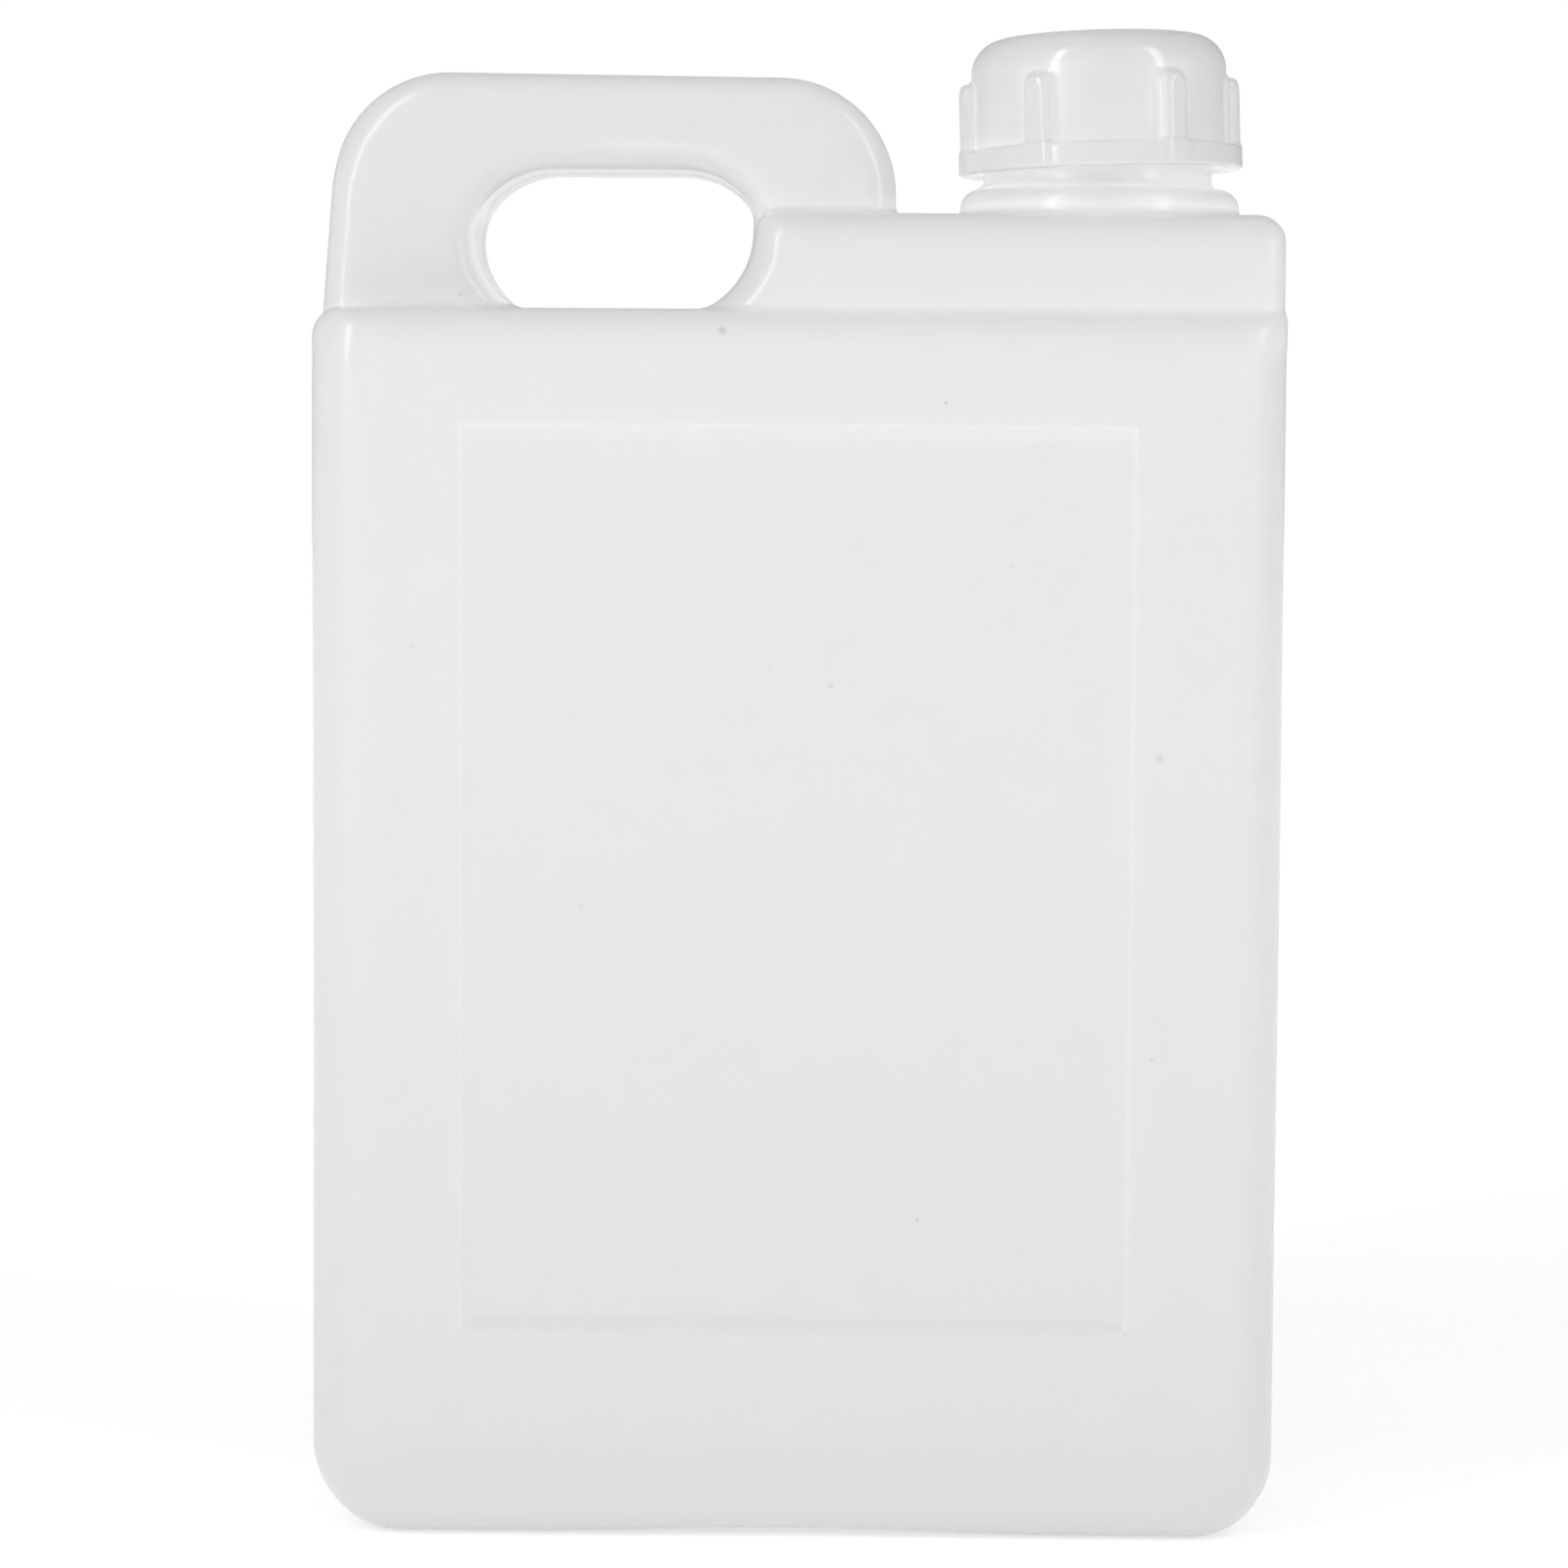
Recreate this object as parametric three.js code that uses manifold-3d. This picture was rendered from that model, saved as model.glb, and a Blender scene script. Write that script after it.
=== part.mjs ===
// A flat two-litre bottle of natural polyethylene, shut with a ribbed screw cap.
// Millimetres, +Z up. The bottle stands on z = 0 with its broad front towards -Y,
// and the origin is under the middle of the body.
import * as THREE from "three";
import { mergeVertices } from "three/addons/utils/BufferGeometryUtils.js";
import Module from "manifold-3d";

const wasm = await Module();
wasm.setup();

// Body: a flat box with rounded edges
const BODY_WIDTH = 160.8;
const BODY_DEPTH = 66;
const BODY_HEIGHT = 203.7;
const BODY_SIDE_ROUNDING = 9.5;
const BODY_TOP_ROUNDING = 6.5;
const BODY_BASE_ROUNDING = 8;
const BODY_LOWER_LEFT_CORNER = 15;
const BODY_LOWER_RIGHT_CORNER = 13.5;
const BODY_UPPER_LEFT_CORNER = 5;
const BODY_UPPER_RIGHT_CORNER = 2;

// Base: two feet with a slight arch between them, and a recess pushed up inside the rim
const FOOT_INNER_X = 46;
const ARCH_RISE = 0.9;
const BASE_RECESS_WIDTH = 116;
const BASE_RECESS_DEPTH = 41;
const BASE_RECESS_RISE = 1.6;
const BASE_RECESS_SLOPE = 4;
const BASE_RECESS_CORNER = 9;

// Label panels: a shallow recess in the front and in the back
const PANEL_WIDTH = 111.4;
const PANEL_BOTTOM = 34.9;
const PANEL_TOP = 185;
const PANEL_STEP_WIDTH = 0.8;
const PANEL_STEP_DEPTH = 0.6;
const PANEL_SLOPE_WIDTH = 2.6;
const PANEL_DEPTH = 1;

// Shoulder block: carries the neck, nearly flush with the right side of the body
const BLOCK_RIGHT_X = 79.8;
const BLOCK_DEPTH = 56;
const BLOCK_TOP = 219.7;
const BLOCK_ROUNDING = 6.5;
const BLOCK_RIGHT_ROUNDING = 4.2;
const BLOCK_RIGHT_CORNER = 4.6;
const BLOCK_LEFT_CORNER = 4;

// Handle: a loop at mid-depth, over the left part of the body
const HANDLE_DEPTH = 30.6;
const HANDLE_ROUNDING = 4.8;
const HANDLE_FOOT_LEFT_X = -79.9;
const HANDLE_LEFT_ARC = { x: -58.5, z: 223.8, radius: 19.6 };
const HANDLE_RIGHT_ARC = { x: -3.2, z: 223.7, radius: 19.1 };
const HANDLE_FLARE_X = 18.3;

// Hole: its ends are made of quarter ellipses that meet at the outermost point, and its
// floor is the top of the body
const HOLE_TOP = 227.2;
const HOLE_LEFT_END = { x: -54.4, z: 216, width: 13.6, drop: 13.6 };
const HOLE_RIGHT_END = { x: -7.4, z: 217, width: 12.6 };
const HOLE_LOWER_RIGHT_RADIUS = 14.6;

// Neck: a bead on the block, and above it the neck itself, plain under the cap
const BEAD_X = 50.5;
const BEAD_RADIUS = 23.5;
const BEAD_TOP = 224.8;
const BEAD_ROUNDING = 3.4;
const NECK_X = 50.1;
const NECK_RADIUS = 19.15;
const NECK_TOP = 245.2;

// Cap: a cup with a flange and six ribs, screwed on a little crooked
const CAP_X = 50.6;
const CAP_BASE = 227.7;
const CAP_HEIGHT = 23;
const CAP_RADIUS = 21.45;
const CAP_BORE_RADIUS = 20.2;
const CAP_TOP_ROUNDING = 5.5;
const CAP_CROWN = 0.3;
const CAP_TOP_WALL = 4.4;
const CAP_FLANGE_RADIUS = 23.7;
const CAP_FLANGE_HEIGHT = 3.8;
const CAP_TILT = THREE.MathUtils.degToRad(1.8);
const RIB_COUNT = 6;
const RIB_WIDTH = 4.8;
const RIB_RADIUS = 23.6;
const RIB_TOP = 15.4;
const RIB_CORNER = 1.9;
const RIB_ROUNDING = 1.4;
const RIB_ROUNDING_STEPS = 2;
const RIB_FIRST_ANGLE = -30;

const ARC_STEPS = 5;
const ROUNDING_STEPS = 4;
const ROUND_SIDES = 48;
// How far a piece reaches into its neighbour before the two are joined
const BURIED = 14;
const PAST = 2;

// The ways an outline can face: its own x, its own y, and the way it is extruded
const SEEN_FROM_FRONT = new THREE.Matrix4().makeBasis(
  new THREE.Vector3(1, 0, 0), new THREE.Vector3(0, 0, 1), new THREE.Vector3(0, -1, 0));
const SEEN_FROM_RIGHT = new THREE.Matrix4().makeBasis(
  new THREE.Vector3(0, 1, 0), new THREE.Vector3(0, 0, 1), new THREE.Vector3(1, 0, 0));
const SEEN_FROM_ABOVE = new THREE.Matrix4();

function solid(geometry) {
  const bare = geometry.clone();
  bare.deleteAttribute("normal");
  bare.deleteAttribute("uv");
  const merged = mergeVertices(bare);
  const vertProperties = new Float32Array(merged.attributes.position.array);
  const triVerts = new Uint32Array(merged.index.array);
  return new wasm.Manifold(new wasm.Mesh({ numProp: 3, vertProperties, triVerts }));
}

function meshFrom(shape, name, material) {
  const result = shape.getMesh();
  const geometry = new THREE.BufferGeometry();
  geometry.setAttribute("position", new THREE.BufferAttribute(result.vertProperties, 3));
  geometry.setIndex(new THREE.BufferAttribute(result.triVerts, 1));
  const flat = geometry.toNonIndexed();
  flat.computeVertexNormals();
  const mesh = new THREE.Mesh(flat, material);
  mesh.name = name;
  return mesh;
}

// A straight extrusion of an outline, centred on the plane it is drawn in
function prism(outline, length, facing) {
  const geometry = new THREE.ExtrudeGeometry(outline, {
    depth: length,
    bevelEnabled: false,
    curveSegments: ARC_STEPS,
  });
  geometry.translate(0, 0, -length / 2);
  geometry.applyMatrix4(facing);
  return solid(geometry);
}

// An extrusion with rounded or sloped edges. The outline is that of the flat faces,
// and the edge stands out from it by edgeWidth over a height of edgeHeight.
function plate(outline, length, edgeWidth, edgeHeight, steps, facing) {
  const core = length - 2 * edgeHeight;
  const geometry = new THREE.ExtrudeGeometry(outline, {
    depth: core,
    bevelEnabled: true,
    bevelSize: edgeWidth,
    bevelThickness: edgeHeight,
    bevelSegments: steps,
    curveSegments: ARC_STEPS,
  });
  geometry.translate(0, 0, -core / 2);
  geometry.applyMatrix4(facing);
  return solid(geometry);
}

// A box outline whose four corners are arcs, anticlockwise from the lower left
function roundedOutline(left, bottom, right, top, corners) {
  const [lowerLeft, lowerRight, upperRight, upperLeft] = corners;
  const outline = new THREE.Shape();
  outline.moveTo(left + lowerLeft, bottom);
  outline.absarc(right - lowerRight, bottom + lowerRight, lowerRight, -Math.PI / 2, 0, false);
  outline.absarc(right - upperRight, top - upperRight, upperRight, 0, Math.PI / 2, false);
  outline.absarc(left + upperLeft, top - upperLeft, upperLeft, Math.PI / 2, Math.PI, false);
  outline.absarc(left + lowerLeft, bottom + lowerLeft, lowerLeft, Math.PI, 1.5 * Math.PI, false);
  return outline;
}

// The part that three outlines have in common: from the front, the right and above
function bodyBox() {
  const halfWidth = BODY_WIDTH / 2;
  const halfDepth = BODY_DEPTH / 2;
  const front = roundedOutline(-halfWidth, 0, halfWidth, BODY_HEIGHT,
    [BODY_LOWER_LEFT_CORNER, BODY_LOWER_RIGHT_CORNER, BODY_UPPER_RIGHT_CORNER, BODY_UPPER_LEFT_CORNER]);
  const side = roundedOutline(-halfDepth, 0, halfDepth, BODY_HEIGHT,
    [BODY_BASE_ROUNDING, BODY_BASE_ROUNDING, BODY_TOP_ROUNDING, BODY_TOP_ROUNDING]);
  const plan = roundedOutline(-halfWidth, -halfDepth, halfWidth, halfDepth,
    Array(4).fill(BODY_SIDE_ROUNDING));
  return prism(front, BODY_DEPTH, SEEN_FROM_FRONT)
    .intersect(prism(side, BODY_WIDTH, SEEN_FROM_RIGHT))
    .intersect(prism(plan, 2 * BODY_HEIGHT, SEEN_FROM_ABOVE));
}

function baseArch() {
  const outline = new THREE.Shape();
  outline.moveTo(-FOOT_INNER_X, 0);
  outline.lineTo(-FOOT_INNER_X, -PAST);
  outline.lineTo(FOOT_INNER_X, -PAST);
  outline.lineTo(FOOT_INNER_X, 0);
  outline.bezierCurveTo(FOOT_INNER_X / 2, 0, FOOT_INNER_X / 2, ARCH_RISE, 0, ARCH_RISE);
  outline.bezierCurveTo(-FOOT_INNER_X / 2, ARCH_RISE, -FOOT_INNER_X / 2, 0, -FOOT_INNER_X, 0);
  return prism(outline, BODY_DEPTH + PAST, SEEN_FROM_FRONT);
}

function baseRecess() {
  const halfWidth = BASE_RECESS_WIDTH / 2 - BASE_RECESS_SLOPE;
  const halfDepth = BASE_RECESS_DEPTH / 2 - BASE_RECESS_SLOPE;
  const corner = BASE_RECESS_CORNER - BASE_RECESS_SLOPE;
  const outline = roundedOutline(-halfWidth, -halfDepth, halfWidth, halfDepth, Array(4).fill(corner));
  return plate(outline, 2 * BASE_RECESS_RISE, BASE_RECESS_SLOPE, BASE_RECESS_RISE, 1, SEEN_FROM_ABOVE);
}

// A steep step all round, then a gentle slope down to the flat of the panel
function labelPanel(faceY) {
  const slope = panelTool(PANEL_STEP_WIDTH + PANEL_SLOPE_WIDTH, PANEL_DEPTH, PANEL_SLOPE_WIDTH,
    PANEL_DEPTH - PANEL_STEP_DEPTH);
  const step = panelTool(PANEL_STEP_WIDTH, PANEL_STEP_DEPTH, PANEL_STEP_WIDTH, PANEL_STEP_DEPTH);
  return slope.add(step).translate([0, faceY, 0]);
}

function panelTool(inset, depth, edgeWidth, edgeHeight) {
  const halfWidth = PANEL_WIDTH / 2 - inset;
  const outline = new THREE.Shape();
  outline.moveTo(-halfWidth, PANEL_BOTTOM + inset);
  outline.lineTo(halfWidth, PANEL_BOTTOM + inset);
  outline.lineTo(halfWidth, PANEL_TOP - inset);
  outline.lineTo(-halfWidth, PANEL_TOP - inset);
  return plate(outline, 2 * depth, edgeWidth, edgeHeight, 1, SEEN_FROM_FRONT);
}

// The block's rounded left end is the lower right part of the hole's edge. Its flat
// face is drawn to sharp corners, and what is seen from the front and above rounds them.
function shoulderBlock() {
  const inset = BLOCK_ROUNDING;
  const buriedZ = BODY_HEIGHT - BURIED;
  const past = BLOCK_RIGHT_X + BURIED;
  const topZ = BLOCK_TOP - inset;
  const face = new THREE.Shape();
  const arcStart = Math.asin((topZ - HOLE_RIGHT_END.z) / (HOLE_LOWER_RIGHT_RADIUS + inset));
  face.moveTo(HOLE_RIGHT_END.x - HOLE_LOWER_RIGHT_RADIUS, buriedZ);
  face.lineTo(past, buriedZ);
  face.lineTo(past, topZ);
  lowerRightArc(face, inset, arcStart, -Math.PI / 2);
  return plate(face, BLOCK_DEPTH, inset, inset, ROUNDING_STEPS, SEEN_FROM_FRONT)
    .intersect(prism(blockFront(), BODY_DEPTH, SEEN_FROM_FRONT))
    .intersect(prism(blockPlan(), 3 * BLOCK_TOP, SEEN_FROM_ABOVE));
}

function blockFront() {
  const leftRise = BLOCK_TOP - HOLE_RIGHT_END.z;
  const outline = new THREE.Shape();
  outline.moveTo(-BLOCK_RIGHT_X, 0);
  outline.lineTo(BLOCK_RIGHT_X, 0);
  outline.absarc(BLOCK_RIGHT_X - BLOCK_RIGHT_CORNER, BLOCK_TOP - BLOCK_RIGHT_CORNER,
    BLOCK_RIGHT_CORNER, 0, Math.PI / 2, false);
  outline.absellipse(HOLE_RIGHT_END.x + BLOCK_LEFT_CORNER, HOLE_RIGHT_END.z,
    BLOCK_LEFT_CORNER, leftRise, Math.PI / 2, Math.PI, false);
  outline.lineTo(-BLOCK_RIGHT_X, HOLE_RIGHT_END.z);
  return outline;
}

function blockPlan() {
  const halfDepth = BLOCK_DEPTH / 2;
  const corner = BLOCK_RIGHT_ROUNDING;
  const outline = new THREE.Shape();
  outline.moveTo(-BLOCK_RIGHT_X, -halfDepth);
  outline.lineTo(BLOCK_RIGHT_X - corner, -halfDepth);
  outline.absarc(BLOCK_RIGHT_X - corner, corner - halfDepth, corner, -Math.PI / 2, 0, false);
  outline.absarc(BLOCK_RIGHT_X - corner, halfDepth - corner, corner, 0, Math.PI / 2, false);
  outline.lineTo(-BLOCK_RIGHT_X, halfDepth);
  return outline;
}

function lowerRightArc(path, grow, from, to) {
  const centreX = HOLE_RIGHT_END.x - HOLE_LOWER_RIGHT_RADIUS;
  path.absarc(centreX, HOLE_RIGHT_END.z, HOLE_LOWER_RIGHT_RADIUS + grow, from, to, to < from);
}

function holePath(grow) {
  const path = new THREE.Path();
  const left = HOLE_LEFT_END;
  const right = HOLE_RIGHT_END;
  const leftX = left.x + left.width;
  lowerRightArc(path, grow, -Math.PI / 2, 0);
  path.absellipse(right.x - right.width, right.z,
    right.width + grow, HOLE_TOP - right.z + grow, 0, Math.PI / 2, false);
  path.absellipse(leftX, left.z,
    left.width + grow, HOLE_TOP - left.z + grow, Math.PI / 2, Math.PI, false);
  path.absellipse(leftX, left.z, left.width + grow, left.drop + grow, Math.PI, 1.5 * Math.PI, false);
  return path;
}

function handleLoop() {
  const inset = HANDLE_ROUNDING;
  const buriedZ = BODY_HEIGHT - BURIED;
  const left = HANDLE_LEFT_ARC;
  const right = HANDLE_RIGHT_ARC;
  const face = new THREE.Shape();
  face.moveTo(HANDLE_FOOT_LEFT_X + inset, buriedZ);
  face.lineTo(HANDLE_FLARE_X - inset, buriedZ);
  face.lineTo(HANDLE_FLARE_X - inset, BLOCK_TOP);
  face.quadraticCurveTo(right.x + right.radius - inset, BLOCK_TOP + 2,
    right.x + right.radius - inset, right.z);
  face.absarc(right.x, right.z, right.radius - inset, 0, Math.PI / 2, false);
  face.absarc(left.x, left.z, left.radius - inset, Math.PI / 2, Math.PI, false);
  face.lineTo(HANDLE_FOOT_LEFT_X + inset, BODY_HEIGHT);
  face.holes.push(holePath(inset));
  return plate(face, HANDLE_DEPTH, inset, inset, ROUNDING_STEPS, SEEN_FROM_FRONT);
}

function turned(profile) {
  const geometry = new THREE.LatheGeometry(profile, ROUND_SIDES);
  geometry.rotateX(Math.PI / 2);
  return solid(geometry);
}

function arcPoints(x, z, radius, from, to) {
  const curve = new THREE.EllipseCurve(x, z, radius, radius, from, to, to < from);
  return curve.getPoints(ROUNDING_STEPS + 1);
}

function bead() {
  const profile = [
    new THREE.Vector2(0, BLOCK_TOP - BURIED),
    new THREE.Vector2(BEAD_RADIUS, BLOCK_TOP - BURIED),
    ...arcPoints(BEAD_RADIUS - BEAD_ROUNDING, BEAD_TOP - BEAD_ROUNDING, BEAD_ROUNDING, 0, Math.PI / 2),
    new THREE.Vector2(0, BEAD_TOP),
  ];
  return turned(profile).translate([BEAD_X, 0, 0]);
}

function neck() {
  const profile = [
    new THREE.Vector2(0, BLOCK_TOP),
    new THREE.Vector2(NECK_RADIUS, BLOCK_TOP),
    new THREE.Vector2(NECK_RADIUS, NECK_TOP),
    new THREE.Vector2(0, NECK_TOP),
  ];
  return turned(profile).translate([NECK_X, 0, 0]);
}

function bottle(material) {
  const front = -BODY_DEPTH / 2;
  const shape = shoulderBlock()
    .add(handleLoop())
    .add(bodyBox())
    .add(bead())
    .add(neck())
    .subtract(labelPanel(front))
    .subtract(labelPanel(-front))
    .subtract(baseArch())
    .subtract(baseRecess());
  return meshFrom(shape, "bottle", material);
}

// The cap is drawn upright with its lower rim at z = 0
function capOutside() {
  const shoulderZ = CAP_HEIGHT - CAP_CROWN - CAP_TOP_ROUNDING;
  const profile = [
    new THREE.Vector2(0, 0),
    new THREE.Vector2(CAP_FLANGE_RADIUS, 0),
    new THREE.Vector2(CAP_FLANGE_RADIUS, CAP_FLANGE_HEIGHT),
    new THREE.Vector2(CAP_RADIUS, CAP_FLANGE_HEIGHT),
    ...arcPoints(CAP_RADIUS - CAP_TOP_ROUNDING, shoulderZ, CAP_TOP_ROUNDING, 0, Math.PI / 2),
    new THREE.Vector2(0, CAP_HEIGHT),
  ];
  return turned(profile);
}

function capBore() {
  const boreTop = CAP_HEIGHT - CAP_TOP_WALL;
  const profile = [
    new THREE.Vector2(0, -PAST),
    new THREE.Vector2(CAP_BORE_RADIUS, -PAST),
    new THREE.Vector2(CAP_BORE_RADIUS, boreTop),
    new THREE.Vector2(0, boreTop),
  ];
  return turned(profile);
}

// One grip rib, standing out towards -Y, with its outer edges rounded
function rib() {
  const halfWidth = RIB_WIDTH / 2 - RIB_ROUNDING;
  const bottom = CAP_FLANGE_HEIGHT / 2 + RIB_ROUNDING;
  const corner = RIB_CORNER - RIB_ROUNDING;
  const outline = roundedOutline(-halfWidth, bottom, halfWidth, RIB_TOP - RIB_ROUNDING,
    [corner, corner, corner, corner]);
  const reach = RIB_RADIUS - CAP_BORE_RADIUS + PAST;
  return plate(outline, reach, RIB_ROUNDING, RIB_ROUNDING, RIB_ROUNDING_STEPS, SEEN_FROM_FRONT)
    .translate([0, reach / 2 - RIB_RADIUS, 0]);
}

function cap(material) {
  let shape = capOutside();
  for (let index = 0; index < RIB_COUNT; index += 1) {
    const turn = RIB_FIRST_ANGLE + (index * 360) / RIB_COUNT;
    shape = shape.add(rib().rotate([0, 0, turn]));
  }
  const mesh = meshFrom(shape.subtract(capBore()), "cap", material);
  mesh.position.set(CAP_X, 0, CAP_BASE);
  mesh.rotation.y = -CAP_TILT;
  return mesh;
}

const natural = new THREE.MeshStandardMaterial({ color: 0xe6e6e6, roughness: 0.4, metalness: 0 });
const capWhite = new THREE.MeshStandardMaterial({ color: 0xdddddd, roughness: 0.3, metalness: 0 });

const group = new THREE.Group();
group.add(bottle(natural), cap(capWhite));
export default group;
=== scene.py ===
"""A flat two-litre bottle of milky plastic with a ribbed screw cap, in soft studio light."""
import math

import bpy
import numpy as np
from mathutils import Matrix, Vector


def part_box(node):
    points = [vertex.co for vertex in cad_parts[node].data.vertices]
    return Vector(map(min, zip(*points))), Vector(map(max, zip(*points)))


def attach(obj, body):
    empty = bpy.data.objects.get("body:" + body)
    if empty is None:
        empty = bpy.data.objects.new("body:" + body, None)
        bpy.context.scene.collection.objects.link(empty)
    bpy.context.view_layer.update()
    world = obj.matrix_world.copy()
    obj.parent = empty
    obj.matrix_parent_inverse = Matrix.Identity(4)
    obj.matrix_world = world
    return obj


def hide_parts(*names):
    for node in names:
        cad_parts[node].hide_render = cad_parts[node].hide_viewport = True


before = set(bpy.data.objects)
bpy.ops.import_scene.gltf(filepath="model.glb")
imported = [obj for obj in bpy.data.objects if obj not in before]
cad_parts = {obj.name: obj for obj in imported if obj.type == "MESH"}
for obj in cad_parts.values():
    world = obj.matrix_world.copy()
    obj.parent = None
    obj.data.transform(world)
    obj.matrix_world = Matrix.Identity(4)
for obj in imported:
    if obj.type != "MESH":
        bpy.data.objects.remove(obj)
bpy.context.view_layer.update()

# Lengths are in millimetres until a mesh is made
MM = 0.001
BOTTLE_HIGH = np.array(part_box("bottle")[1]) / MM

# Mould seam: a fine ridge round the bottle at mid-depth
SEAM_HEIGHT = 0.12
SEAM_HALF_WIDTH = 0.5

# Body
HALF_WIDTH = BOTTLE_HIGH[0] - SEAM_HEIGHT
HALF_DEPTH = BOTTLE_HIGH[1]
BODY_TOP = 203.7
SIDE_ROUNDING = 9.5
TOP_ROUNDING = 6.5
BASE_ROUNDING = 8.0
ROUNDING_BLEND = 6.0
LOWER_LEFT_CORNER = 15.0
LOWER_RIGHT_CORNER = 13.5
UPPER_LEFT_CORNER = 5.0
UPPER_RIGHT_CORNER = 2.0

# Waves of the blown walls, as how far each swings either way
SIDE_WAVE = 0.05
BROAD_WAVE = 0.07
FINE_WAVE = 0.03

# Base: an arch between two feet, and a recess pushed up inside the rim
FOOT_INNER_X = 46.0
ARCH_RISE = 0.9
RECESS_HALF_WIDTH = 58.0
RECESS_HALF_DEPTH = 20.5
RECESS_RISE = 1.6
RECESS_SLOPE = 4.0
RECESS_CORNER = 9.0

# Label panels, front and back
PANEL_HALF_WIDTH = 55.7
PANEL_BOTTOM = 34.9
PANEL_TOP = 185.0
PANEL_STEP_WIDTH = 1.0
PANEL_STEP_DEPTH = 0.26
PANEL_SLOPE_WIDTH = 2.6
PANEL_DEPTH = 0.8

# Shoulder block
BLOCK_HALF_DEPTH = 28.0
BLOCK_TOP = 219.7
BLOCK_RIGHT_X = 79.8
BLOCK_ROUNDING = 6.5
BLOCK_RIGHT_ROUNDING = 4.2
BLOCK_RIGHT_CORNER = 4.6
BLOCK_LEFT_CORNER = 3.4
BLOCK_BLEND = 5.0
BLOCK_SUNK = 6.0

# Handle, with its left edge leaning in and its top falling slightly to the right
HANDLE_HALF_DEPTH = 15.3
HANDLE_ROUNDING = 4.8
HANDLE_LEFT_X = -78.1
HANDLE_FOOT_LEFT_X = -79.9
HANDLE_RIGHT_X = 15.9
HANDLE_TOP = 242.9
HANDLE_TOP_FALL = 0.011
HANDLE_LEFT_CORNER = 19.6
HANDLE_RIGHT_CORNER = 19.1
HANDLE_MIDDLE_X = -31.0
HANDLE_SUNK = 4.0

# Hole: quarter ellipses that meet at each end's outermost point
HOLE_TOP = 227.2
HOLE_BOTTOM = 202.4
HOLE_LEFT_X = -54.4
HOLE_LEFT_Z = 216.0
HOLE_LEFT_WIDTH = 13.6
HOLE_RIGHT_X = -7.4
HOLE_RIGHT_Z = 217.0
HOLE_UPPER_RIGHT_WIDTH = 12.6
HOLE_LOWER_RIGHT_WIDTH = 14.6

# Neck
BEAD_X = 50.5
BEAD_RADIUS = 23.5
BEAD_TOP = 224.8
BEAD_ROUNDING = 3.4
BEAD_SUNK = 6.0
NECK_X = 50.1
NECK_RADIUS = 19.15
NECK_TOP = BOTTLE_HIGH[2]

# Fillets where the parts run into each other, and from where to where the outer ones take over
BLOCK_FILLET = 0.8
HANDLE_FILLET = 1.6
NECK_FILLET = 1.3
OUTER_FILLET = 0.8
OUTER_FROM_X = 66.0
BLOCK_OUTER_X = 76.0
HANDLE_OUTER_X = 74.0

# Cap, drawn upright on its own rim and then leaned over
CAP_X = 50.6
CAP_BASE = 227.7
CAP_TILT = math.radians(1.8)
CAP_HEIGHT = 22.98
CAP_RADIUS = 21.45
CAP_ROUNDING = 5.5
CAP_CROWN = 0.3
CAP_BORE_RADIUS = 20.2
CAP_BORE_TOP = 18.6
FLANGE_RADIUS = 23.7
FLANGE_HEIGHT = 3.8
RIB_COUNT = 6
RIB_FIRST_ANGLE = math.radians(-30)
RIB_RADIUS = 23.6
RIB_HALF_WIDTH = 2.4
RIB_TOP = 15.4
RIB_CORNER = 1.9
RIB_ROUNDING = 1.4
CAP_FILLET = 0.5
RIB_FILLET = 0.9

# Mesh cells in stretches of (start, end, spacing), finer where the surface turns or steps
BOTTLE_CELLS_ACROSS = ((0, 51.6, 1.25), (51.6, 56.8, 0.5), (56.8, 70, 1.2), (70, 82, 0.75))
BOTTLE_CELLS_DEEP = ((0, 1.5, 0.25), (1.5, 10, 1.7), (10, 16.5, 0.7), (16.5, 21, 1.4), (21, 34.2, 0.8))
BOTTLE_CELLS_UP = (
    (-1, 16, 0.8), (16, 33.6, 2.2), (33.6, 39, 0.5), (39, 181, 4.4),
    (181, 186.4, 0.5), (186.4, 195, 1.7), (195, 247, 0.9),
)
CAP_CELLS_ACROSS = ((0, 14, 0.7), (14, 25, 0.42))
CAP_CELLS_UP = ((-0.8, 5, 0.36), (5, 14, 0.8), (14, 24, 0.42))

# Specks of dirt on the front wall: x, z, depth of the wall there, radius and darkness
SPECKS = (
    (-12.4, 199.9, 32, 0.85, 0.09), (59.5, 130.7, 33, 0.75, 0.05), (-35.1, 105.7, 32, 0.5, 0.05),
    (-62.8, 148.4, 33, 0.6, 0.04), (5.7, 142.2, 32, 0.4, 0.12), (-4.4, 144.9, 32, 0.3, 0.08),
    (24.1, 188.5, 33, 0.28, 0.2), (35.2, 162.1, 32, 0.28, 0.1), (20.5, 54.0, 32, 0.26, 0.18),
    (58.8, 81.0, 33, 0.26, 0.15), (55.0, 35.3, 32.5, 0.3, 0.17), (16.2, 217.8, 27, 0.3, 0.15),
    (-56.5, 206.3, 15.3, 0.35, 0.08), (-54.1, 209.1, 14.5, 0.35, 0.2), (-53.4, 208.5, 14.5, 0.35, 0.25),
)
SPECK_EDGE_INSET = 0.12
SPECK_EDGE_WIDTH = 0.3
SPECK_LEAST_LIGHT = 0.4

# Camera, set to the photograph's view, with its clipping in metres
FRAME_PIXELS = 1600
FOCAL_PIXELS = 4600.0
SENSOR_WIDTH = 36.0
CAMERA_PLACE = (8.4, -769.0, 180.2)
CAMERA_YAW = math.radians(0.8)
CAMERA_PITCH = math.radians(4.2)
CAMERA_ROLL = math.radians(0.35)
CAMERA_CLIP = (0.05, 50)

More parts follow.
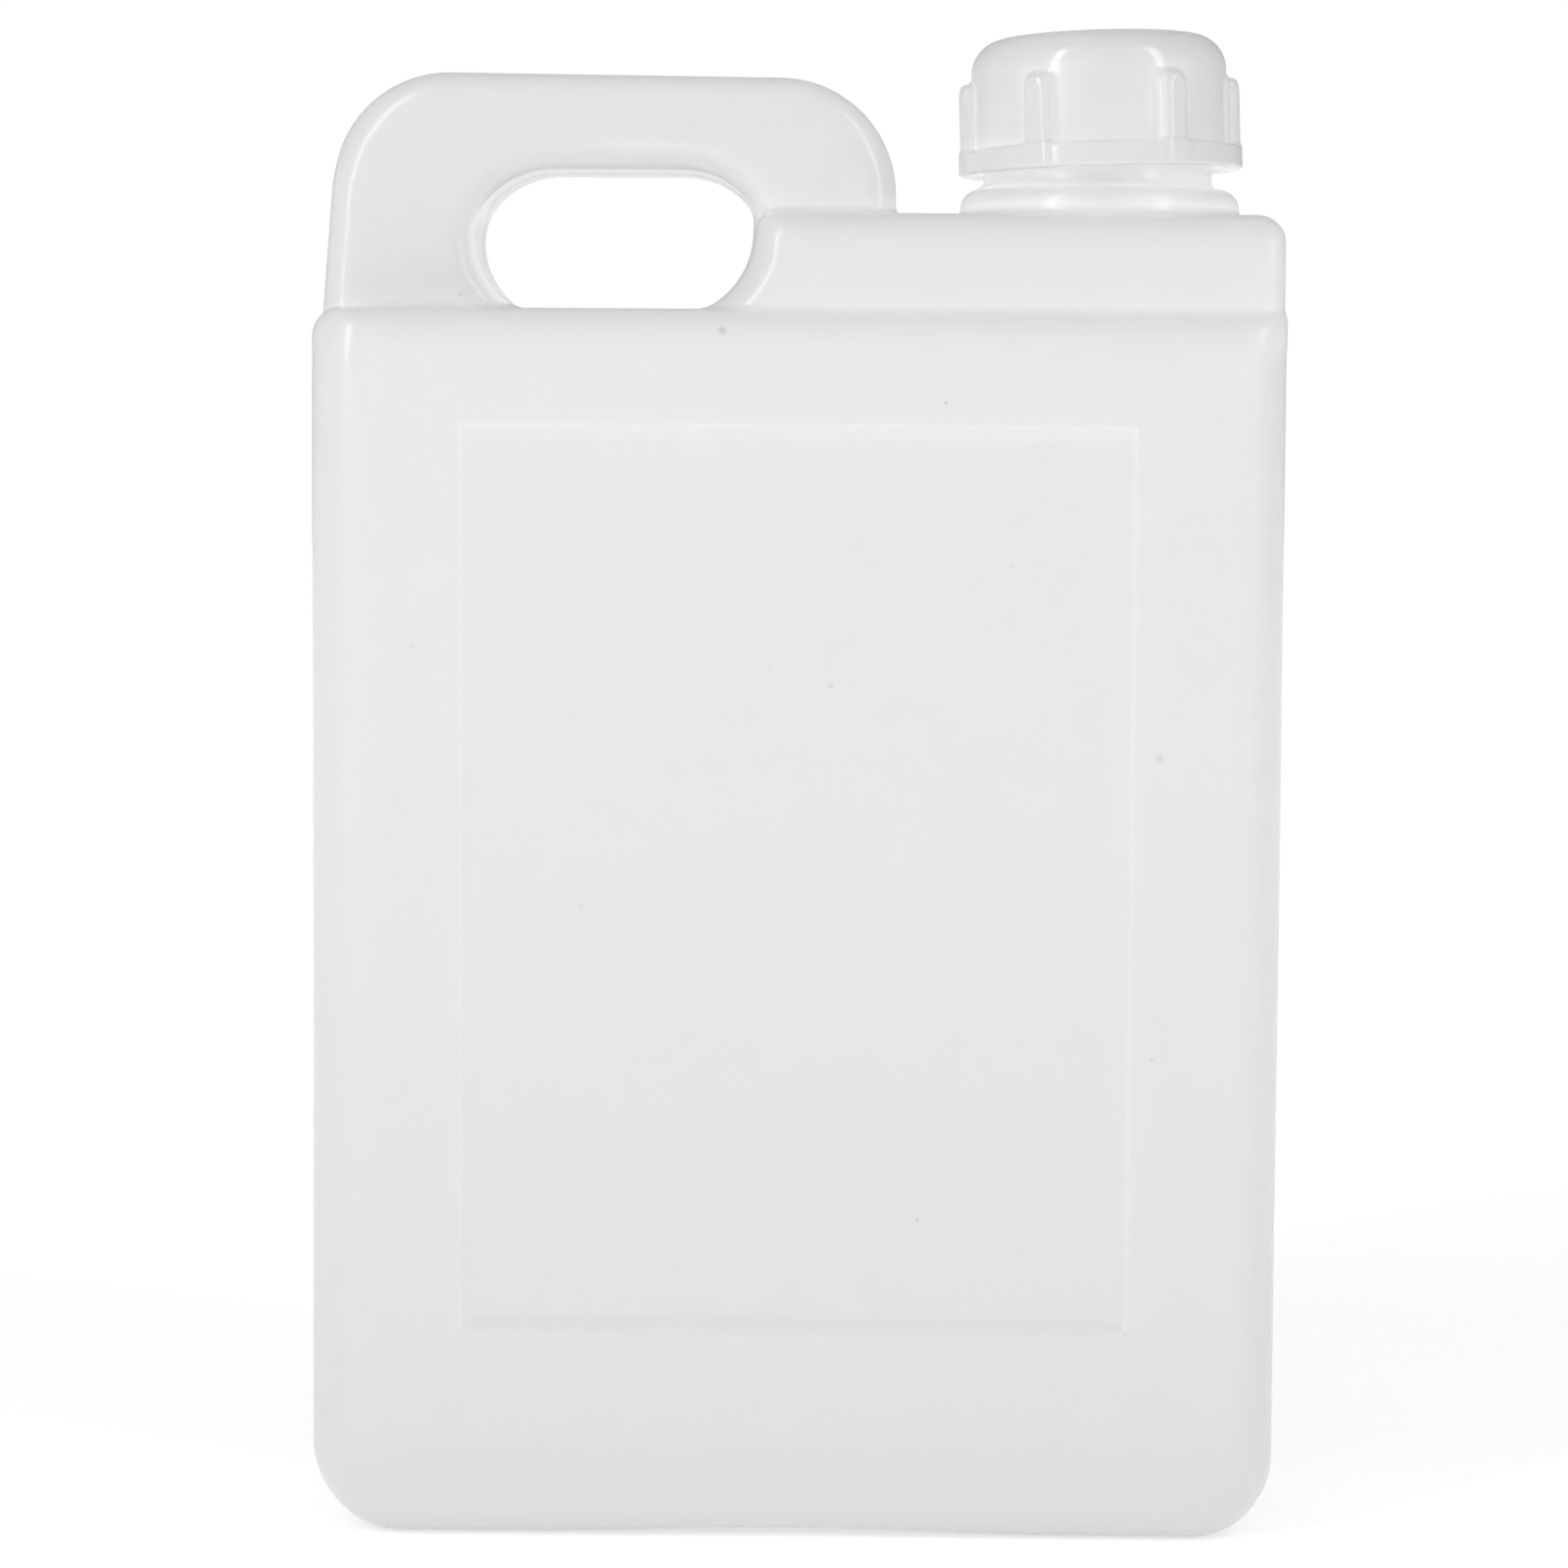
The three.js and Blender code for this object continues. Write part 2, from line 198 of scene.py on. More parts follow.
# Light, in metres and as brightness where 1 shows as white
WORLD_FROM_FRONT_TO_BACK = ((0.0, 0.455), (0.3, 0.44), (0.5, 0.395), (0.8, 0.385), (0.97, 0.42))
WORLD_OVERHEAD = 1.5
WORLD_OVERHEAD_FROM = 0.2
FLOOR_REACH = 8.0
FLOOR_GREY = 0.85
FLOOR_ROUGHNESS = 0.9
FLOOR_GLOW_NEAR = 0.45
FLOOR_GLOW_FAR = 0.62
FLOOR_NEAR = 0.3
FLOOR_FAR = 2.0
LIGHT_BOUNCES = 5
DIFFUSE_BOUNCES = 2

# Soft boxes: name, azimuth from the front and brightness, then what both share
LAMPS = (("soft_box_left", math.radians(-41), 6.4), ("soft_box_right", math.radians(54), 4.4))
LAMP_DISTANCE = 1.35
LAMP_HEIGHT = 0.85
LAMP_AIM = 0.13
LAMP_SIZE = (0.2, 1.3)

# Plastic: how far light spreads in it, how rough it is, and how white by the share of the height, where
# the grey that falls towards the base and at the handle is partly the plastic's own tone and partly
# painted shade
WHITE = (1, 1, 1, 1)
PLASTIC_IOR = 1.5
BOTTLE_SCATTER = 5.0
CAP_SCATTER = 1.2
BOTTLE_ROUGHNESS = 0.22
CAP_ROUGHNESS = 0.12
CAP_TOP_ROUGHNESS = 0.5
CAP_TONE = 0.745
TONE_AND_SHADE_HEIGHT = 250.0
TONE_AND_SHADE_BY_HEIGHT = (
    (0.0, 0.68), (0.02, 0.73), (0.08, 0.757), (0.2, 0.778),
    (0.5, 0.8), (0.8, 0.805), (0.85, 0.797), (0.92, 0.78),
)

# How far below its top the cap starts to be duller, and where it is fully so
CAP_DULL_FROM = 1.2
CAP_DULL_TO = 0.4

# Unevenness of the plastic: scale of the noise, how strong it is, and how deep a bump is
BOTTLE_CLOUDS = (12.0, 0.012)
CAP_CLOUDS = (40.0, 0.03)
GRAIN = (900.0, 0.12, 0.1)
SWELLS = (70.0, 0.6, 0.25)
RIPPLE = (700.0, 0.1)
RING_PITCH = 0.65
RING_START = 16.0
RING_FADE = 1.0
RING_PATCHES = 300.0
TURNED_STRENGTH = 0.3
TURNED_DEPTH = 0.015

# The glow that stands for light through the hollow plastic, in sheltered places
SHELTER_STEPS = (1, 2, 4, 8, 16)
SHELTER_LIMIT = 0.06
SHELTER_MOST = 0.6
SHELTER_GLOW = 0.15
SHELTER_FACING_Z = (-0.9, -0.2)
NECK_GLOW = 0.33
NECK_GLOW_RISE = (BLOCK_TOP + 0.5, BLOCK_TOP + 2.5)

# The same painted glow on the sides of the bead and on the left side of the cap
BEAD_GLOW = 0.15
BEAD_GLOW_RISE = (BLOCK_TOP, BLOCK_TOP + 2)
CAP_GLOW = 0.09
CAP_GLOW_RISE = (CAP_BASE - 2, CAP_BASE)
CAP_GLOW_RADIUS = FLANGE_RADIUS + 1

# The same glow round the hole: its reach from the edge, and what the walls have more or less
HOLE_GLOW = 0.14
HOLE_RIM_REACH = 4.0
HOLE_WALL_REACH = 1.5
HOLE_GLOW_BOTTOM = BODY_TOP + 1
LEFT_WALL_MORE = 1.5
ALL_WALLS_LESS = 0.5
LEFT_WALL_FACING_X = (0, 0.3)
LEFT_WALL_FACING_Z = (-0.7, -0.1)


def round_max(a, b, radius):
    """The larger of two distances, with the edge between the two surfaces rounded."""
    share = np.maximum(radius - np.abs(a - b), 0) / radius
    return np.maximum(a, b) + radius / 2 * (1 + share - np.sqrt(1 + share * (2 - share)))


def round_min(a, b, radius):
    """The smaller of two distances, with a fillet where the two surfaces meet."""
    return -round_max(-a, -b, radius)


def ease(value, start, end):
    """0 before start, 1 after end, and a smooth step between them."""
    share = np.clip((value - start) / (end - start), 0, 1)
    return share * share * (3 - 2 * share)


def arch_height(x):
    return ARCH_RISE * (1 - ease(np.abs(x), 0, FOOT_INNER_X))


def recess_height(x, y):
    inside = -round_max(np.abs(x) - RECESS_HALF_WIDTH, np.abs(y) - RECESS_HALF_DEPTH, RECESS_CORNER)
    return RECESS_RISE * ease(inside, 0, RECESS_SLOPE)


def panel_depth(x, z):
    """A steep step all round the label panel, then a gentle slope to its flat."""
    inside = np.minimum(PANEL_HALF_WIDTH - np.abs(x), np.minimum(z - PANEL_BOTTOM, PANEL_TOP - z))
    step = PANEL_STEP_DEPTH * ease(inside, 0, PANEL_STEP_WIDTH)
    slope = np.clip((inside - PANEL_STEP_WIDTH / 2) / PANEL_SLOPE_WIDTH, 0, 1)
    return step + (PANEL_DEPTH - PANEL_STEP_DEPTH) * np.sin(slope * math.pi / 2)


def side_waves(x, y, z):
    """How far the waves of a side wall lie inwards."""
    return SIDE_WAVE * (1 + np.sin(z / 23 + np.sign(x) + y / 19))


def face_waves(x, z):
    """How far the broad and fine waves of the front and back lie inwards."""
    broad = np.sin(x / 31 + 0.7) * np.sin(z / 43 + 1.1)
    fine = np.sin(x / 11 + z / 29) * np.sin(z / 17 - x / 37 + 0.4)
    return BROAD_WAVE * (1 + broad) + FINE_WAVE * (1 + fine)


def body(x, y, z):
    side = np.abs(x) - HALF_WIDTH + side_waves(x, y, z)
    base = arch_height(x) + recess_height(x, y)
    upper = z > BODY_TOP / 2
    end = np.where(upper, z - BODY_TOP, base - z)
    left_corner = np.where(upper, UPPER_LEFT_CORNER, LOWER_LEFT_CORNER)
    right_corner = np.where(upper, UPPER_RIGHT_CORNER, LOWER_RIGHT_CORNER)
    outline = round_max(side, end, np.where(x < 0, left_corner, right_corner))
    face = np.abs(y) - HALF_DEPTH + face_waves(x, z) + panel_depth(x, z)
    end_rounding = np.where(upper, TOP_ROUNDING, BASE_ROUNDING)
    at_side = ease(side - end, -ROUNDING_BLEND, ROUNDING_BLEND)
    return round_max(outline, face, end_rounding + (SIDE_ROUNDING - end_rounding) * at_side)


def block(x, y, z):
    centre_x = HOLE_RIGHT_X - HOLE_LOWER_RIGHT_WIDTH
    arc = HOLE_LOWER_RIGHT_WIDTH - np.hypot(x - centre_x, z - HOLE_RIGHT_Z)
    left = np.maximum(arc, centre_x - x)
    right = x - BLOCK_RIGHT_X
    top = z - BLOCK_TOP
    outline = np.where(x > BEAD_X, round_max(right, top, BLOCK_RIGHT_CORNER),
                       round_max(left, top, BLOCK_LEFT_CORNER))
    outline = np.maximum(outline, BODY_TOP - BLOCK_SUNK - z)
    at_right = ease(right - top, -BLOCK_BLEND, BLOCK_BLEND)
    rounding = BLOCK_ROUNDING + (BLOCK_RIGHT_ROUNDING - BLOCK_ROUNDING) * at_right
    return round_max(outline, np.abs(y) - BLOCK_HALF_DEPTH, rounding)


def hole(x, z):
    """The distance to the edge of the handle's hole, negative inside it."""
    left = x < HANDLE_MIDDLE_X
    level = np.where(left, HOLE_LEFT_Z, HOLE_RIGHT_Z)
    upper = z > level
    right_width = np.where(upper, HOLE_UPPER_RIGHT_WIDTH, HOLE_LOWER_RIGHT_WIDTH)
    width = np.where(left, HOLE_LEFT_WIDTH, right_width)
    along = np.where(left, HOLE_LEFT_X + width - x, x - HOLE_RIGHT_X + width)
    along = np.maximum(along, 0)
    rise = z - level
    height = np.where(upper, HOLE_TOP - level, level - HOLE_BOTTOM)
    share = np.hypot(along / width, rise / height)
    steepness = np.hypot(along / width**2, rise / height**2)
    return share * (share - 1) / np.maximum(steepness, 1e-6)


def handle(x, y, z):
    lean = (HANDLE_LEFT_X - HANDLE_FOOT_LEFT_X) / (HOLE_TOP - BODY_TOP)
    edge_x = np.minimum(HANDLE_FOOT_LEFT_X + lean * (z - BODY_TOP), HANDLE_LEFT_X)
    left = edge_x - x
    right = x - HANDLE_RIGHT_X
    top = z - HANDLE_TOP + HANDLE_TOP_FALL * (x - HANDLE_MIDDLE_X)
    outline = np.where(x < HANDLE_MIDDLE_X, round_max(left, top, HANDLE_LEFT_CORNER),
                       round_max(right, top, HANDLE_RIGHT_CORNER))
    outline = np.maximum(outline, np.maximum(-hole(x, z), BODY_TOP - HANDLE_SUNK - z))
    return round_max(outline, np.abs(y) - HANDLE_HALF_DEPTH, HANDLE_ROUNDING)


def bead(x, y, z):
    wall = np.hypot(x - BEAD_X, y) - BEAD_RADIUS
    return np.maximum(round_max(wall, z - BEAD_TOP, BEAD_ROUNDING), BLOCK_TOP - BEAD_SUNK - z)


def neck(x, y, z):
    wall = np.hypot(x - NECK_X, y) - NECK_RADIUS
    return np.maximum(np.maximum(wall, z - NECK_TOP), BLOCK_TOP - z)


def bottle(x, y, z):
    """The distance to the bottle's surface, negative inside it."""
    near_right = ease(x, OUTER_FROM_X, BLOCK_OUTER_X)
    near_left = ease(-x, OUTER_FROM_X, HANDLE_OUTER_X)
    block_fillet = BLOCK_FILLET + (OUTER_FILLET - BLOCK_FILLET) * near_right
    handle_fillet = HANDLE_FILLET + (OUTER_FILLET - HANDLE_FILLET) * near_left
    shape = round_min(body(x, y, z), block(x, y, z), block_fillet)
    shape = round_min(shape, handle(x, y, z), handle_fillet)
    shape = round_min(shape, bead(x, y, z), NECK_FILLET)
    shape = round_min(shape, neck(x, y, z), NECK_FILLET)
    shape = np.maximum(shape, np.abs(x) - HALF_WIDTH)
    seam = SEAM_HEIGHT * ease(z, BASE_ROUNDING / 2, BASE_ROUNDING)
    return shape - seam * np.exp(-((y / SEAM_HALF_WIDTH) ** 2))


def cap(x, y, z):
    """The distance to the cap's surface, upright, with the middle of its rim at the origin."""
    radius = np.hypot(x, y)
    crown = CAP_CROWN * (radius / (CAP_RADIUS - CAP_ROUNDING)) ** 2
    dome = round_max(radius - CAP_RADIUS, z - CAP_HEIGHT + crown, CAP_ROUNDING)
    flange = round_max(radius - FLANGE_RADIUS, z - FLANGE_HEIGHT, CAP_FILLET)
    pitch = 2 * math.pi / RIB_COUNT
    turn = np.arctan2(x, -y) - RIB_FIRST_ANGLE
    turn = (turn + pitch / 2) % pitch - pitch / 2
    across = np.abs(radius * np.sin(turn)) - RIB_HALF_WIDTH
    rib = round_max(across, z - RIB_TOP, RIB_CORNER)
    rib = round_max(rib, radius * np.cos(turn) - RIB_RADIUS, RIB_ROUNDING)
    shape = round_min(round_min(dome, flange, CAP_FILLET), rib, RIB_FILLET)
    shape = round_max(shape, -z, CAP_FILLET)
    bore = np.maximum(radius - CAP_BORE_RADIUS, z - CAP_BORE_TOP)
    return round_max(shape, -bore, CAP_FILLET)


def placed_cap(x, y, z):
    """The distance to the cap's surface where it sits, leaning over on the neck."""
    across, up = x - CAP_X, z - CAP_BASE
    along = across * math.cos(CAP_TILT) + up * math.sin(CAP_TILT)
    return cap(along, y, up * math.cos(CAP_TILT) - across * math.sin(CAP_TILT))


def shelter(points, normals, steepness):
    """How closed in each point is, from 0 in the open, by how near the next surface is."""
    total = 0
    for step in SHELTER_STEPS:
        ahead = (points + normals * step).T
        gap = np.minimum(bottle(*ahead), placed_cap(*ahead))
        total = total + np.clip(1.0 - SHELTER_LIMIT - gap / (step * steepness), 0, 1)
    return total / len(SHELTER_STEPS)


def glow_at_hole(x, y, z, normals):
    """Round the handle's hole, most on the left wall, which the front view sees."""
    nearness = -hole(x, z)
    rim = ease(nearness, -HOLE_RIM_REACH, 0) ** 2
    wall = ease(nearness, -HOLE_WALL_REACH, 0)
    on_left = ease(normals[:, 2], *LEFT_WALL_FACING_Z) * ease(normals[:, 0], *LEFT_WALL_FACING_X)
    inside = (np.abs(y) < HANDLE_HALF_DEPTH) * (z > HOLE_GLOW_BOTTOM)
    return HOLE_GLOW * (rim + wall * (LEFT_WALL_MORE * on_left - ALL_WALLS_LESS)) * inside


def glow_at_neck(x, y, z, normals):
    """Painted light on the sides of the bead and on the left of the cap, which makes the cap's left
    side lighter.
    """
    strength = BEAD_GLOW + (CAP_GLOW - BEAD_GLOW) * ease(z, *CAP_GLOW_RISE)
    inside = np.hypot(x - CAP_X, y) < CAP_GLOW_RADIUS
    sideways = np.where((z > CAP_BASE) & (normals[:, 0] > 0), 0, np.abs(normals[:, 0]))
    return strength * ease(z, *BEAD_GLOW_RISE) * inside * sideways


def shine_through(points, normals, steepness):
    """A painted glow that stands for light reaching a place through the thin, hollow plastic."""
    x, y, z = points.T
    strength = SHELTER_GLOW + (NECK_GLOW - SHELTER_GLOW) * ease(z, *NECK_GLOW_RISE)
    strength = strength * ease(normals[:, 2], *SHELTER_FACING_Z)
    sheltered = strength * np.minimum(shelter(points, normals, steepness), SHELTER_MOST)
    return sheltered + glow_at_hole(x, y, z, normals) + glow_at_neck(x, y, z, normals)


def grid_lines(*stretches):
    """Grid lines from stretches of (start, end, spacing), each starting where the last ended."""
    lines = [np.array([stretches[0][0]])]
    for start, end, spacing in stretches:
        count = max(1, round((end - start) / spacing))
        lines.append(np.linspace(start, end, count + 1)[1:])
    return np.concatenate(lines)


def both_sides(*stretches):
    """The same stretches on the negative side, mirrored, and then on the positive side."""
    mirrored = [(-end, -start, spacing) for start, end, spacing in reversed(stretches)]
    return grid_lines(*mirrored, *stretches)


def gradient(distance, points, reach=0.01):
    slopes = []
    for axis in range(3):
        step = np.zeros(3)
        step[axis] = reach
        ahead = distance(*(points + step).T)
        behind = distance(*(points - step).T)
        slopes.append((ahead - behind) / (2 * reach))
    return np.stack(slopes, axis=1)


def surface_net(distance, lines):
    """Points and quads of the zero surface: one point in each grid cell that it crosses."""
    value = distance(*np.meshgrid(*lines, indexing="ij"))
    cells = tuple(size - 1 for size in value.shape)
    total = np.zeros((np.prod(cells), 3))
    count = np.zeros(np.prod(cells))
    quads = []
    for axis in range(3):
        start = tuple(slice(0, -1) if other == axis else slice(None) for other in range(3))
        end = tuple(slice(1, None) if other == axis else slice(None) for other in range(3))
        crossed = np.argwhere((value[start] < 0) != (value[end] < 0))
        unit = np.eye(3, dtype=int)
        first = value[tuple(crossed.T)]
        second = value[tuple((crossed + unit[axis]).T)]
        point = np.stack([lines[other][crossed[:, other]] for other in range(3)], axis=1)
        length = lines[axis][crossed[:, axis] + 1] - lines[axis][crossed[:, axis]]
        point[:, axis] += length * first / (first - second)
        side, up = unit[(axis + 1) % 3], unit[(axis + 2) % 3]
        around = [crossed, crossed - side, crossed - side - up, crossed - up]
        corners = np.stack([np.ravel_multi_index(cell.T, cells) for cell in around], axis=1)
        corners[first > 0] = corners[first > 0][:, ::-1]
        for column in corners.T:
            np.add.at(total, column, point)
            np.add.at(count, column, 1)
        quads.append(corners)
    used, quads = np.unique(np.concatenate(quads), return_inverse=True)
    return total[used] / count[used][:, None], quads.reshape(-1, 4)


def settle(distance, points, rounds=4, longest=0.4, least_slope=0.05):
    """Moves points along the gradient until they lie on the surface."""
    for _ in range(rounds):
        slope = gradient(distance, points)
        step = distance(*points.T) / np.maximum((slope**2).sum(axis=1), least_slope)
        points = points - slope * np.clip(step, -longest, longest)[:, None]
    return points


def relax(distance, points, quads, rounds=2, share=0.4):
    """Evens out the points within the surface."""
    for _ in range(rounds):
        total = np.zeros_like(points)
        count = np.zeros(len(points))
        for start in range(4):
            first, second = quads[:, start], quads[:, (start + 1) % 4]
            np.add.at(total, first, points[second])
            np.add.at(total, second, points[first])
            np.add.at(count, first, 1)
            np.add.at(count, second, 1)
        points = settle(distance, points + share * (total / count[:, None] - points), rounds=2)
    return points


def add_object(name, data):
    made = bpy.data.objects.new(name, data)
    bpy.context.scene.collection.objects.link(made)
    return made


def mesh_object(name, distance, lines, lean=0.0, place=(0, 0, 0)):
    """A smooth mesh of a surface, leaned over to the left and moved to its place."""
    points, quads = surface_net(distance, lines)
    points = relax(distance, settle(distance, points), quads)
    normals = gradient(distance, points)
    steepness = np.linalg.norm(normals, axis=1)
    normals /= steepness[:, None]
    turn = np.array([[math.cos(lean), 0, -math.sin(lean)], [0, 1, 0],
                     [math.sin(lean), 0, math.cos(lean)]])
    points = points @ turn.T + np.array(place)
    normals = normals @ turn.T
    mesh = bpy.data.meshes.new(name)
    mesh.vertices.add(len(points))
    mesh.vertices.foreach_set("co", (points * MM).astype(np.float32).ravel())
    mesh.loops.add(quads.size)
    mesh.loops.foreach_set("vertex_index", quads.astype(np.int32).ravel())
    mesh.polygons.add(len(quads))
    mesh.polygons.foreach_set("loop_start", np.arange(0, quads.size, 4, dtype=np.int32))
    mesh.update(calc_edges=True)
    mesh.validate()
    mesh.shade_smooth()
    mesh.normals_split_custom_set_from_vertices(normals)
    glow = mesh.attributes.new("shine_through", "FLOAT", "POINT")
    glow.data.foreach_set("value", shine_through(points, normals, steepness).astype(np.float32))
    print(name, len(points), "points", len(quads), "quads")
    return add_object(name, mesh)


def make_bottle():
    across, deep = both_sides(*BOTTLE_CELLS_ACROSS), both_sides(*BOTTLE_CELLS_DEEP)
    up = grid_lines(*BOTTLE_CELLS_UP)
    piece = mesh_object("bottle_skin", bottle, (across, deep, up))
    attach(piece, "root")
    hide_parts("bottle")
    return piece


def make_cap():
    across, up = both_sides(*CAP_CELLS_ACROSS), grid_lines(*CAP_CELLS_UP)
    piece = mesh_object("screw_cap", cap, (across, across, up), CAP_TILT, (CAP_X, 0, CAP_BASE))
    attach(piece, "root")
    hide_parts("cap")
    return piece


class Nodes:
    """Adds nodes to a material or world, each wired to what it is given."""

    def __init__(self, owner):
        self.tree = owner.node_tree

    def wire(self, node, **inputs):
        """Links or sets inputs that go by their name, or by i and their number."""
        for name, value in inputs.items():
            socket = node.inputs[int(name[1:]) if name[1:].isdigit() else name.replace("_", " ")]
            if isinstance(value, bpy.types.NodeSocket):
                self.tree.links.new(value, socket)
            else:
                socket.default_value = value

    def add(self, kind, output=0, settings=None, **inputs):
        node = self.tree.nodes.new("ShaderNode" + kind)
        for name, value in (settings or {}).items():
            setattr(node, name, value)
        self.wire(node, **inputs)
        return node.outputs[output]

    def math(self, operation, a, b=0.0, clamp=False):
        settings = {"operation": operation, "use_clamp": clamp}
        return self.add("Math", settings=settings, i0=a, i1=b)

    def scaled(self, value, factor, offset):
        settings = {"operation": "MULTIPLY_ADD"}
        return self.add("Math", settings=settings, i0=value, i1=factor, i2=offset)

    def noise(self, place, scale, detail=2.0):
        return self.add("TexNoise", Vector=place, Scale=scale, Detail=detail, Roughness=0.5)

    def clouds(self, place, scale, swing, middle):
        """Soft patches that swing about a middle value."""
        return self.scaled(self.noise(place, scale, 3.0), swing, middle - swing / 2)

    def bump(self, height, strength, depth, **under):
        return self.add("Bump", Height=height, Strength=strength, Distance=depth * MM, **under)

    def ramp(self, value, stops):
        node = self.tree.nodes.new("ShaderNodeValToRGB")
        elements = node.color_ramp.elements
        while len(elements) < len(stops):
            elements.new(0.5)
        for element, (position, grey) in zip(elements, stops):
            element.position = position
            element.color = (grey, grey, grey, 1)
        self.wire(node, Fac=value)
        return node.outputs["Color"]


def plastic(name, roughness, scatter):
    """A milky plastic and what its nodes start from: the shader, the place and its parts."""
    material = bpy.data.materials.new(name)
    material.use_nodes = True
    nodes = Nodes(material)
    shader = nodes.tree.nodes["Principled BSDF"]
    shader.subsurface_method = "BURLEY"
    # The emission is painted light: a glow, read from the shine_through attribute, on sheltered places,
    # round the hole, on the bead and on the cap's left side
    glow = nodes.add("Attribute", output=2, settings={"attribute_name": "shine_through"})
    nodes.wire(shader, Roughness=roughness, IOR=PLASTIC_IOR, Subsurface_Weight=1.0,
               Subsurface_Radius=(1, 1, 1), Subsurface_Scale=scatter * MM,
               Emission_Color=WHITE, Emission_Strength=glow)
    place = nodes.add("TexCoord", output=3)
    parts = nodes.add("SeparateXYZ", Vector=place).node.outputs
    return material, shader, nodes, place, parts


def light_past_specks(nodes, place):
    """The share of light that the specks of dirt leave, 1 on clean plastic."""
    least = 1.0
    for x, z, depth, radius, darkness in SPECKS:
        spot = Vector((x, -depth, z)) * MM
        settings = {"operation": "DISTANCE"}
        away = nodes.add("VectorMath", output=1, settings=settings, i0=place, i1=spot)
        edge = nodes.math("SUBTRACT", away, (radius - SPECK_EDGE_INSET) * MM)
        light = nodes.scaled(edge, darkness / (SPECK_EDGE_WIDTH * MM), 1 - darkness)
        least = nodes.math("MINIMUM", light, least)
    return nodes.math("MAXIMUM", least, SPECK_LEAST_LIGHT)


def bottle_plastic():
    material, shader, nodes, place, parts = plastic("milky_plastic", BOTTLE_ROUGHNESS, BOTTLE_SCATTER)
    # Grey by height, darker towards the base and at the handle: partly the plastic's own tone, partly
    # painted shade
    tone_and_shade = nodes.ramp(nodes.math("DIVIDE", parts["Z"], TONE_AND_SHADE_HEIGHT * MM), TONE_AND_SHADE_BY_HEIGHT)
    clouds = nodes.clouds(place, *BOTTLE_CLOUDS, 1)
    shade = nodes.math("MULTIPLY", clouds, light_past_specks(nodes, place))
    colour = nodes.add("VectorMath", settings={"operation": "MULTIPLY"}, i0=tone_and_shade, i1=shade)
    grain_scale, *grain = GRAIN
    swell_scale, *swells = SWELLS
    bump = nodes.bump(nodes.noise(place, grain_scale), *grain)
    bump = nodes.bump(nodes.noise(place, swell_scale), *swells, Normal=bump)
    nodes.wire(shader, Base_Color=colour, Normal=bump)
    return material


def cap_plastic():
    """A glossier plastic, with fine turned rings on the rounding and a duller top."""
    material, shader, nodes, place, parts = plastic("glossy_plastic", CAP_ROUGHNESS, CAP_SCATTER)
    clouds = nodes.clouds(place, *CAP_CLOUDS, CAP_TONE)
    colour = nodes.add("CombineColor", i0=clouds, i1=clouds, i2=clouds)
    # Height above the cap's leaning rim
    lean = nodes.math("MULTIPLY", nodes.math("SUBTRACT", parts["X"], CAP_X * MM), math.sin(CAP_TILT))
    height = nodes.math("SUBTRACT", nodes.math("SUBTRACT", parts["Z"], lean), CAP_BASE * MM)
    rings = nodes.math("SINE", nodes.math("MULTIPLY", height, 2 * math.pi / (RING_PITCH * MM)))
    upper = nodes.math("SUBTRACT", height, RING_START * MM)
    upper = nodes.math("MULTIPLY", upper, 1 / (RING_FADE * MM), clamp=True)
    patchy = nodes.noise(place, RING_PATCHES)
    rings = nodes.math("MULTIPLY", nodes.math("MULTIPLY", rings, upper), patchy)
    ripple_scale, ripple_share = RIPPLE
    ripple = nodes.math("MULTIPLY", nodes.noise(place, ripple_scale, 3.0), ripple_share)
    bump = nodes.bump(nodes.math("ADD", rings, ripple), TURNED_STRENGTH, TURNED_DEPTH)
    roughness = nodes.add("MapRange", Value=height,
                          From_Min=(CAP_HEIGHT - CAP_DULL_FROM) * MM,
                          From_Max=(CAP_HEIGHT - CAP_DULL_TO) * MM,
                          To_Min=CAP_ROUGHNESS, To_Max=CAP_TOP_ROUGHNESS)
    nodes.wire(shader, Base_Color=colour, Roughness=roughness, Normal=bump)
    return material


def make_camera():
    turn = Matrix.Rotation(CAMERA_YAW, 3, "Z") @ Matrix.Rotation(math.pi / 2 - CAMERA_PITCH, 3, "X")
    turn = turn @ Matrix.Rotation(CAMERA_ROLL, 3, "Z")
    data = bpy.data.cameras.new("camera")
    data.sensor_width = SENSOR_WIDTH
    data.lens = SENSOR_WIDTH * FOCAL_PIXELS / FRAME_PIXELS
    data.clip_start, data.clip_end = CAMERA_CLIP
    camera = add_object("camera", data)
    camera.matrix_world = Matrix.Translation(Vector(CAMERA_PLACE) * MM) @ turn.to_4x4()
    bpy.context.scene.camera = camera


def soft_box(name, azimuth, radiance):
    """A tall lamp at an azimuth from the front, turned towards the bottle."""
    data = bpy.data.lights.new(name, "AREA")
    data.shape = "RECTANGLE"
    data.size, data.size_y = LAMP_SIZE
    data.energy = radiance * math.pi * LAMP_SIZE[0] * LAMP_SIZE[1]
    lamp = add_object(name, data)
    place = Vector((math.sin(azimuth) * LAMP_DISTANCE, -math.cos(azimuth) * LAMP_DISTANCE, LAMP_HEIGHT))
    aim = Vector((0, 0, LAMP_AIM)) - place
    lamp.matrix_world = Matrix.Translation(place) @ aim.to_track_quat("-Z", "Y").to_matrix().to_4x4()


